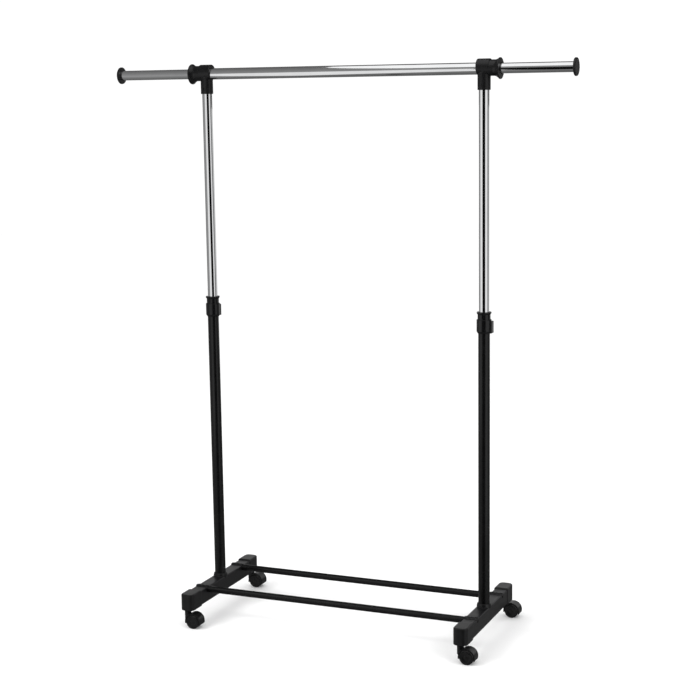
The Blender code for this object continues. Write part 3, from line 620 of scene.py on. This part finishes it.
def screw(name, head_r, head, shank_r, length, matrix):
    """A pan-head screw whose head stands from 0 up to head, with a pointed shank below."""
    profile = [
        (0, -length, 0),
        (shank_r, shank_r * 1.2 - length, 0.0003),
        (shank_r, 0, 0),
        (head_r, 0, 0.0002),
        (head_r, head * 0.55, head_r * 0.35),
        (head_r * 0.55, head, head_r * 0.5),
        (0, head, 0),
    ]
    made = as_object(name, turned(profile, 48))
    boolean(made, "DIFFERENCE", cross_recess(head_r * 0.62, head * 0.75, head))
    made.data.transform(matrix)
    return made


# ---- tees ----------------------------------------------------------------------------------------
def tee_horn(out):
    """The trumpet between the tee's shoulder and its flange."""
    flare = TEE_OUTER - TEE_FLANGE - TEE_FLARE
    rise = TEE_FLANGE_R - TEE_NECK_R
    steps = 10
    profile = [(0, 0, 0), (TEE_NECK_R, 0, 0)]
    for i in range(steps + 1):
        profile.append((TEE_NECK_R + rise * (i / steps) ** 2, TEE_FLARE + flare * i / steps, 0))
    profile += [(TEE_FLANGE_R, TEE_OUTER, 0.0012), (0, TEE_OUTER, 0)]
    mesh = moved(turned(profile), along((out, 0, 0)))
    for vert in mesh.verts:
        share = min(max((abs(vert.co.x) - TEE_FLARE) / flare, 0), 1)
        vert.co.z += TEE_NECK_RISE * (1 - share)
    return mesh


def tee(side):
    """The corner moulding between an upright and the rail, and the small screw in its sleeve."""
    sign = SIDES[side]
    out = (sign, 0, 0)
    body = [
        (0, -TEE_INNER, 0),
        (TEE_BODY_R, -TEE_INNER, TEE_EDGE),
        (TEE_BODY_R, TEE_BODY_END, TEE_EDGE),
        (0, TEE_BODY_END, 0),
    ]
    sleeve = [
        (0, -SLEEVE_DROP, 0),
        (SLEEVE_R, -SLEEVE_DROP, 0.0010),
        (SLEEVE_R, 0, 0),
        (0, 0, 0),
    ]
    front = along((0, -1, 0), (0, 0, -SCREW_DROP))
    seat = SLEEVE_R - TEE_SCREW_SINK
    mouth = SLEEVE_R + 0.004
    recess = [(0, seat, 0), (TEE_RECESS_R, seat, 0), (TEE_RECESS_MOUTH_R, mouth, 0), (0, mouth, 0)]
    rail_bore = cylinder(RAIL_R + GAP, -0.03, 0.06)
    post_bore = cylinder(UPPER_R + GAP, -0.06, -POST_TOP_DROP)
    made = moulded(
        f"{side}_corner",
        [moved(turned(body), along(out, (0, 0, TEE_RISE))), tee_horn(sign), turned(sleeve)],
        cuts=[moved(rail_bore, along(out)), post_bore, moved(turned(recess, SMALL_ROUND), front)],
        voxel=0.0006,
        keep=0.30,
        passes=5,
    )
    made.data.transform(Matrix.Translation((POST_X[side], 0, RAIL_Z)))
    piece(made, "top_frame", TEE_PLASTIC, [f"{side}_tee"])
    fixing = screw(
        f"{side}_corner_screw",
        TEE_SCREW_HEAD_R,
        TEE_SCREW_HEAD,
        TEE_SCREW_R,
        TEE_SCREW_LENGTH,
        along((0, -1, 0), (POST_X[side], 0, RAIL_Z - SCREW_DROP)) @ Matrix.Translation((0, 0, seat + 0.0001)),
    )
    # the tee screw's dark colour is painted shade from its recess
    piece(fixing, "top_frame", RECESS_SHADED_STEEL, [f"{side}_tee_screw"])


# ---- height clamps -------------------------------------------------------------------------------
def collet(side):
    """The slotted neck on a lower tube, with a rim at its top and a tail down inside the tube."""
    top = COLLET_TOP[side]
    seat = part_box(f"{side}_lower_tube")[1].z + GAP
    inner = UPPER_R + RUNNING
    profile = [
        (inner, seat - COLLET_TAIL, 0.0002),
        (LOWER_BORE - GAP / 2, seat - COLLET_TAIL, 0.0002),
        (LOWER_BORE - GAP / 2, seat, 0),
        (SEAT_R, seat, 0.0002),
        (SEAT_R, top - COLLET_NECK - 0.002, 0),
        (NECK_OUT, top - COLLET_NECK, 0.0005),
        (NECK_OUT, top - 2 * RIM_THICK, 0.0015),
        (RIM_R, top - RIM_THICK, 0.0008),
        (RIM_R, top, 0.0010),
        (inner, top, 0.0008),
    ]
    made = as_object(f"{side}_split_collet", turned(profile, steps=4))
    slots = []
    slot_low = top - COLLET_NECK + 0.0016
    for i in range(COLLET_SLOTS):
        slot = box((inner - 0.002, -SLOT_HALF, slot_low), (RIM_R + 0.002, SLOT_HALF, top + 0.002))
        slots.append(moved(slot, Matrix.Rotation(2 * math.pi * (i + 0.5) / COLLET_SLOTS, 4, "Z")))
    boolean(made, "DIFFERENCE", slots)
    made.data.transform(Matrix.Translation((POST_X[side], 0, 0)))
    piece(made, "base", CLAMP_PLASTIC, [f"{side}_collet"], crease=35)


def clamp_ring(side):
    """The ring that turns on a collet, with its flat thumb pad."""
    top = COLLET_TOP[side] - COLLET_NECK - GAP
    low = top - RING_HEIGHT
    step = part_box(f"{side}_lower_tube")[1].z - GAP
    ring = [
        (0, low, 0),
        (RING_R - RING_CHAMFER_R, low, 0.0004),
        (RING_R, low + RING_CHAMFER, 0.0020),
        (RING_R, top, 0.0016),
        (0, top, 0),
    ]
    pad = box((PAD_ROOT, -PAD_HALF, low + PAD_BELOW), (PAD_REACH, PAD_HALF, top - PAD_DROP), PAD_EDGE)
    upper_bore = cylinder(SEAT_R + RUNNING, step, top + 0.002)
    lower_bore = cylinder(LOWER_R + RUNNING, low - 0.002, step + 0.001)
    made = moulded(
        f"{side}_grip_ring",
        [turned(ring), pad],
        cuts=[upper_bore, lower_bore],
        voxel=0.0005,
        keep=0.35,
        passes=4,
    )
    turn = Matrix.Rotation(math.radians(RING_TURN[side]), 4, "Z")
    made.data.transform(Matrix.Translation((POST_X[side], 0, 0)) @ turn)
    piece(made, f"{side}_clamp", CLAMP_PLASTIC, [f"{side}_clamp_ring"])


# ---- legs ----------------------------------------------------------------------------------------
def leg_block(end):
    """An end block, rounded in plan at its tip, its top edge rolled over."""
    root = LEG_TIP - BLOCK_LENGTH
    rolls = [(0.0006, BLOCK_BOTTOM), (0.0, BLOCK_BOTTOM + 0.0006)]
    for i in range(7):
        angle = math.radians(90 * i / 6)
        height = BLOCK_TOP - BLOCK_ROLL + BLOCK_ROLL * math.sin(angle)
        rolls.append((BLOCK_ROLL * (1 - math.cos(angle)), height))
    mesh = bmesh.new()
    rings = []
    for inset, height in rolls:
        half = BLOCK_HALF - inset
        corner = BLOCK_CORNER - inset
        plan = [
            (-half, root + inset, 0),
            (half, root + inset, 0),
            (half, LEG_TIP - inset, corner),
            (-half, LEG_TIP - inset, corner),
        ]
        rings.append([mesh.verts.new((x, end * y, height)) for x, y in filleted(plan, True, 10)])
    mesh.faces.new(rings[0])
    mesh.faces.new(rings[-1])
    for first, second in zip(rings, rings[1:]):
        skin(mesh, first, second)
    return mesh


def hump(y, inward):
    """The rounded cover over a bar's end, with three small ribs across it."""
    half = BEAM_HALF - GAP
    drums = [(HUMP_R, -half, half, 0.001)]
    for offset in (-RIB_PITCH, 0.0, RIB_PITCH):
        drums.append((HUMP_R + RIB_RISE, offset - RIB_HALF, offset + RIB_HALF, 0.0004))
    shells = []
    for radius, low, high, edge in drums:
        drum = turned([(0, low, 0), (radius, low, edge), (radius, high, edge), (0, high, 0)])
        shells.append(moved(drum, along((inward, 0, 0), (0, y, BAR_Z))))
    return shells


def leg(side):
    """A beam with its two end blocks, the boss round the upright, and the humps over the bars' ends."""
    inward = -SIDES[side]
    span = LEG_TIP - BLOCK_LENGTH / 2
    section = [
        (-BEAM_HALF, BEAM_BOTTOM, 0.0008),
        (BEAM_HALF, BEAM_BOTTOM, 0.0008),
        (BEAM_HALF, BEAM_TOP, BEAM_ROLL),
        (-BEAM_HALF, BEAM_TOP, BEAM_ROLL),
    ]
    beam = moved(prism(filleted(section, True), -span, span), Matrix.Rotation(math.radians(90), 4, "X"))
    boss = [
        (0, BEAM_TOP - BOSS_SKIRT, 0),
        (BEAM_HALF - GAP, BEAM_TOP - BOSS_SKIRT, 0),
        (BOSS_R, BEAM_TOP - 0.003, 0.0015),
        (BOSS_R, BEAM_TOP + 0.003, 0.0015),
        (BOSS_LIP_R, BOSS_TOP, 0.0010),
        (0, BOSS_TOP, 0),
    ]
    shells = [beam, leg_block(-1), leg_block(1), turned(boss)]
    cuts = []
    for end in ENDS:
        y = BAR_Y[end]
        shells += hump(y, inward)
        across = along((inward, 0, 0), (0, y, BAR_Z))
        cuts.append(moved(cylinder(BAR_R + GAP, -0.004, BAR_SOCKET), across))
        well = BAR_SCREW_WELL - BEAM_HALF
        screw_way = [
            (0, -BEAM_HALF - 0.003, 0),
            (BAR_SCREW_WELL_R, -BEAM_HALF - 0.003, 0),
            (BAR_SCREW_WELL_R, well, 0),
            (BAR_SCREW_HOLE_R, well, 0),
            (BAR_SCREW_HOLE_R, -0.002, 0),
            (0, -0.002, 0),
        ]
        cuts.append(moved(turned(screw_way, SMALL_ROUND), across))
        socket = cylinder(STEM_SOCKET_R, 0.04, STEM_SOCKET_TOP, SMALL_ROUND)
        cuts.append(moved(socket, Matrix.Translation((0, CASTER_Y[end], 0))))
    bolt_way = [
        (0, 0.045, 0),
        (POST_BOLT_WELL_R, 0.045, 0),
        (POST_BOLT_WELL_R, POST_BOLT_WELL_TOP, 0),
        (POST_BOLT_HOLE_R, POST_BOLT_WELL_TOP, 0),
        (POST_BOLT_HOLE_R, POST_BOLT_HOLE_TOP, 0),
        (0, POST_BOLT_HOLE_TOP, 0),
    ]
    cuts += [cylinder(LOWER_R + GAP, SOCKET_FLOOR, BOSS_TOP + 0.003), turned(bolt_way, SMALL_ROUND)]
    made = moulded(f"{side}_leg_moulding", shells, cuts=cuts, voxel=0.0008, keep=0.30, passes=4)
    made.data.transform(Matrix.Translation((POST_X[side], 0, 0)))
    piece(made, "base", PLASTIC, [f"{side}_leg"])


def leg_fixings(side):
    """The screws in a leg's side and the bolt up into its upright."""
    inward = -SIDES[side]
    for end in ENDS:
        low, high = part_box(f"{end}_{side}_bar_screw")
        head = low.x if inward > 0 else high.x
        fixing = screw(
            f"{end}_{side}_leg_screw",
            BAR_SCREW_HEAD_R,
            BAR_SCREW_HEAD,
            BAR_SCREW_R,
            BAR_SCREW_LENGTH,
            along((-inward, 0, 0), (head + inward * BAR_SCREW_HEAD, BAR_Y[end], BAR_Z)),
        )
        # the leg screw's dark colour is painted shade from its well
        piece(fixing, "base", RECESS_SHADED_STEEL, [f"{end}_{side}_bar_screw"])
    low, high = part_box(f"{side}_post_bolt")
    fixing = screw(
        f"{side}_foot_bolt",
        POST_BOLT_HEAD_R,
        POST_BOLT_HEAD,
        POST_BOLT_R,
        POST_BOLT_LENGTH,
        along((0, 0, -1), (POST_X[side], 0, low.z + POST_BOLT_HEAD)),
    )
    piece(fixing, "base", STEEL, [f"{side}_post_bolt"])


# ---- casters -------------------------------------------------------------------------------------
def housing_mesh():
    """Hood, web and neck of a caster in one moulding, about the swivel axis, at the axle's height."""
    outline = []
    for i in range(49):
        angle = math.radians(HOOD_FROM + HOOD_SWEEP * i / 48)
        outline.append((HOOD_R * math.cos(angle), HOOD_R * math.sin(angle)))
    for i in range(1, 24):
        angle = math.radians(HOOD_FROM + HOOD_SWEEP + (360 - HOOD_SWEEP) * i / 24)
        outline.append((WEB_R * math.cos(angle), WEB_R * math.sin(angle)))
    to_axle = Matrix.Translation((TRAIL, 0, 0))
    slab = moved(prism(outline, -HOOD_HALF, HOOD_HALF), to_axle @ Matrix.Rotation(math.radians(90), 4, "X"))
    neck_top = BLOCK_BOTTOM - NECK_TOP_GAP - WHEEL_R
    neck = [(0, NECK_BOTTOM, 0), (NECK_R, NECK_BOTTOM, 0), (NECK_R, neck_top, 0.001), (0, neck_top, 0)]
    spaces = []
    for sign in (-1, 1):
        space = cylinder(WHEEL_R + WHEEL_SPACE, WEB_HALF, HOOD_HALF + 0.005)
        spaces.append(moved(space, to_axle @ along((0, sign, 0))))
    stem = cylinder(STEM_BORE_R, STEM_BORE_FLOOR, neck_top + 0.002, SMALL_ROUND)
    axle = cylinder(AXLE_R + GAP / 2, -0.01, 0.01, SMALL_ROUND)
    made = moulded(
        "housing_pattern",
        [slab],
        joins=[turned(neck)],
        early_cuts=spaces,
        cuts=[stem, moved(axle, to_axle @ along((0, 1, 0)))],
        voxel=0.0005,
        keep=0.30,
        passes=3,
    )
    data = made.data
    bpy.data.objects.remove(made)
    return data


def wheel_mesh():
    """A wheel about +Z from its inner face out: round tread, a shallow groove, a dished disc and a hub."""
    profile = [
        (0, AXLE_SEAT, 0),
        (AXLE_R + RUNNING, AXLE_SEAT, 0),
        (AXLE_R + RUNNING, WHEEL_INNER, 0.0003),
        (WHEEL_R - 0.0005, WHEEL_INNER, 0.0008),
        (WHEEL_R, WHEEL_INNER + 0.0015, 0.0010),
        (WHEEL_R, WHEEL_OUTER - 0.0020, 0.0018),
        (WHEEL_R - 0.0018, WHEEL_OUTER, 0.0014),
        (WHEEL_R - 0.0040, WHEEL_OUTER, 0.0005),
        (WHEEL_R - 0.0046, WHEEL_OUTER - 0.0009, 0.0004),
        (WHEEL_R - 0.0056, WHEEL_OUTER - 0.0009, 0.0004),
        (WHEEL_R - 0.0062, WHEEL_OUTER - 0.0003, 0.0006),
        (0.0078, WHEEL_OUTER - 0.0018, 0.0030),
        (0.0066, WHEEL_OUTER - 0.0018, 0.0004),
        (0.0058, WHEEL_OUTER - 0.0006, 0.0012),
        (0, WHEEL_OUTER - 0.0002, 0),
    ]
    made = as_object("wheel_pattern", turned(profile, steps=4))
    data = made.data
    bpy.data.objects.remove(made)
    return data


def casters():
    """The four housings, and two wheels on each."""
    housing = housing_mesh()
    wheel = wheel_mesh()
    for side in SIDES:
        for end in ENDS:
            name = f"{end}_{side}_caster"
            place = Vector((POST_X[side], CASTER_Y[end], WHEEL_R))
            made = bpy.data.objects.new(f"{name}_fork", housing.copy())
            bpy.context.scene.collection.objects.link(made)
            made.data.transform(Matrix.Translation(place))
            piece(made, name, HOUSING, [f"{name}_housing"])
            for face, sign in (("front", -1), ("rear", 1)):
                made = bpy.data.objects.new(f"{name}_{face}_tread", wheel.copy())
                bpy.context.scene.collection.objects.link(made)
                made.data.transform(along((0, sign, 0), place + Vector((TRAIL, 0, 0))))
                piece(made, f"{name}_{face}_wheel", TREAD, [f"{name}_{face}_wheel"])


def hidden_parts():
    """CAD nodes that stay: the plugs, guides, stems and axles."""
    for name, node in frame["nodes"].items():
        if node.hide_render:
            continue
        looks = NYLON if name.endswith(("plug", "guide")) else STEEL
        node.data.materials.clear()
        node.data.materials.append(looks)


# ---- studio --------------------------------------------------------------------------------------
CAMERA_PLACE = (1.7188, -4.0121, 1.5045)
CAMERA_TURN = (22.8024, 9.2390, -0.7912)  # yaw to the left, pitch down and roll, in degrees
SENSOR = 36.0  # mm
FOCAL_SHARE = 2.23856  # focal length over the sensor's width


def camera():
    """The viewpoint: about 4 m off, at head height, to the right of the rack's middle."""
    yaw, pitch, roll = (math.radians(a) for a in CAMERA_TURN)
    ahead = Vector((-math.sin(yaw) * math.cos(pitch), math.cos(yaw) * math.cos(pitch), -math.sin(pitch)))
    right = Vector((math.cos(yaw), math.sin(yaw), 0))
    up = right.cross(ahead)
    tilted = right * math.cos(roll) + up * math.sin(roll)
    upright = up * math.cos(roll) - right * math.sin(roll)
    data = bpy.data.cameras.new("camera")
    data.sensor_width = SENSOR
    data.lens = SENSOR * FOCAL_SHARE
    made = bpy.data.objects.new("camera", data)
    turn = Matrix((tilted, upright, -ahead)).transposed().to_4x4()
    made.matrix_world = Matrix.Translation(CAMERA_PLACE) @ turn
    bpy.context.scene.collection.objects.link(made)
    bpy.context.scene.camera = made


def glow(name, strength):
    """White light of even strength."""
    made = bpy.data.materials.new(name)
    made.use_nodes = True
    tree = made.node_tree
    tree.nodes.remove(tree.nodes["Principled BSDF"])
    light = tree.nodes.new("ShaderNodeEmission")
    light.inputs["Color"].default_value = (1.0, 1.0, 1.0, 1.0)
    light.inputs["Strength"].default_value = strength
    tree.links.new(light.outputs["Emission"], tree.nodes["Material Output"].inputs["Surface"])
    return made


def card(name, corners, strength):
    """A studio card or flag that only shows in reflections."""
    mesh = bmesh.new()
    mesh.faces.new([mesh.verts.new(c) for c in corners])
    data = bpy.data.meshes.new(name)
    mesh.to_mesh(data)
    mesh.free()
    data.materials.append(glow(f"{name}_glow", strength))
    made = bpy.data.objects.new(name, data)
    made.visible_camera = False
    made.visible_diffuse = False
    made.visible_shadow = False
    made.visible_transmission = False
    made.visible_volume_scatter = False
    bpy.context.scene.collection.objects.link(made)


def wall(name, start, end, low, high, strength):
    """An upright card between two (x, y) places."""
    card(name, [(*start, low), (*end, low), (*end, high), (*start, high)], strength)


def studio():
    """What the chrome shows: softboxes, a dark gap between them, a pale backdrop and a light overhead."""
    wall("left_softbox", (-0.66, -0.40), (-0.08, -1.48), 0.35, 1.56, 0.80)
    wall("dark_room", (-0.08, -1.50), (1.13, -0.78), -0.40, 1.66, 0.004)
    wall("right_softbox", (1.13, -0.76), (1.75, 0.10), 0.0, 1.75, 0.80)
    wall("backdrop_glow", (-3.0, 2.6), (3.0, 2.6), 0.25, 1.45, 0.6)
    overhead = [(-0.45, -1.5, 2.57), (1.4, -1.5, 2.57), (1.4, 0.35, 2.57), (-0.45, 0.35, 2.57)]
    card("overhead_softbox", overhead, 1.0)


# The room in reflections: (height from 0 straight down to 1 straight up, brightness)
ROOM_BANDS = ((0.0, 0.13), (0.12, 0.20), (0.34, 0.31), (0.50, 0.26), (0.70, 0.22), (1.0, 0.15))


def background(tree, strength=1.0):
    made = tree.nodes.new("ShaderNodeBackground")
    made.inputs["Color"].default_value = (1.0, 1.0, 1.0, 1.0)
    made.inputs["Strength"].default_value = strength
    return made


def mapped(tree, source, start, end, first, last):
    """The source's value from start to end, mapped to first to last."""
    made = tree.nodes.new("ShaderNodeMapRange")
    for socket, value in (("From Min", start), ("From Max", end), ("To Min", first), ("To Max", last)):
        made.inputs[socket].default_value = value
    tree.links.new(source, made.inputs["Value"])
    return made.outputs["Result"]


def world():
    """White to the eye and to soft light, and a dimmer room in reflections."""
    made = bpy.data.worlds.new("studio")
    bpy.context.scene.world = made
    made.use_nodes = True
    tree = made.node_tree
    tree.nodes.clear()
    out = tree.nodes.new("ShaderNodeOutputWorld")
    pick = tree.nodes.new("ShaderNodeMixShader")
    path = tree.nodes.new("ShaderNodeLightPath")
    soft = background(tree, 1.05)
    room = background(tree)
    place = tree.nodes.new("ShaderNodeTexCoord")
    split = tree.nodes.new("ShaderNodeSeparateXYZ")
    tree.links.new(place.outputs["Generated"], split.inputs["Vector"])
    depth = mapped(tree, split.outputs["Y"], -0.2, 0.7, 1.0, 0.5)
    height = mapped(tree, split.outputs["Z"], -1.0, 1.0, 0.0, 1.0)
    bands = tree.nodes.new("ShaderNodeValToRGB")
    ramp = bands.color_ramp
    for stop, level in ((ramp.elements[0], ROOM_BANDS[0][1]), (ramp.elements[1], ROOM_BANDS[-1][1])):
        stop.color = (level, level, level, 1)
    for up, level in ROOM_BANDS[1:-1]:
        ramp.elements.new(up).color = (level, level, level, 1)
    tree.links.new(height, bands.inputs["Fac"])
    tree.links.new(bands.outputs["Color"], room.inputs["Color"])
    tree.links.new(depth, room.inputs["Strength"])
    tree.links.new(path.outputs["Is Glossy Ray"], pick.inputs["Fac"])
    tree.links.new(soft.outputs["Background"], pick.inputs[1])
    tree.links.new(room.outputs["Background"], pick.inputs[2])
    tree.links.new(pick.outputs["Shader"], out.inputs["Surface"])


def floor():
    """A wide white floor that chrome doesn't mirror."""
    mesh = bmesh.new()
    bmesh.ops.create_circle(mesh, cap_ends=True, segments=96, radius=14.0)
    data = bpy.data.meshes.new("floor")
    mesh.to_mesh(data)
    mesh.free()
    made = bpy.data.materials.new("floor_white")
    made.use_nodes = True
    shader = made.node_tree.nodes["Principled BSDF"]
    shader.inputs["Base Color"].default_value = (0.97, 0.97, 0.97, 1.0)
    shader.inputs["Roughness"].default_value = 1.0
    shader.inputs["Specular IOR Level"].default_value = 0.0
    data.materials.append(made)
    obj = bpy.data.objects.new("floor", data)
    obj.visible_glossy = False
    bpy.context.scene.collection.objects.link(obj)


def lamp(name, place, aim, size, watts):
    """A soft area lamp pointed from place at aim."""
    data = bpy.data.lights.new(name, "AREA")
    data.shape = "RECTANGLE"
    data.size, data.size_y = size
    data.energy = watts
    made = bpy.data.objects.new(name, data)
    made.visible_glossy = False
    made.location = place
    made.rotation_mode = "QUATERNION"
    made.rotation_quaternion = (Vector(aim) - Vector(place)).to_track_quat("-Z", "Y")
    bpy.context.scene.collection.objects.link(made)


# ---- the whole picture ---------------------------------------------------------------------------
bpy.context.scene.view_settings.view_transform = "Standard"
camera()
world()
floor()
studio()
lamp("key", (-2.4, -2.2, 3.2), (0.0, 0.0, 0.6), (1.6, 1.6), 60.0)
lamp("fill", (3.2, -1.4, 2.4), (0.0, 0.0, 0.5), (1.4, 1.4), 25.0)
long_tubes()
for side in SIDES:
    tubes(side)
    end_cap(side)
    tee(side)
    collet(side)
    clamp_ring(side)
    leg(side)
    leg_fixings(side)
casters()
hidden_parts()
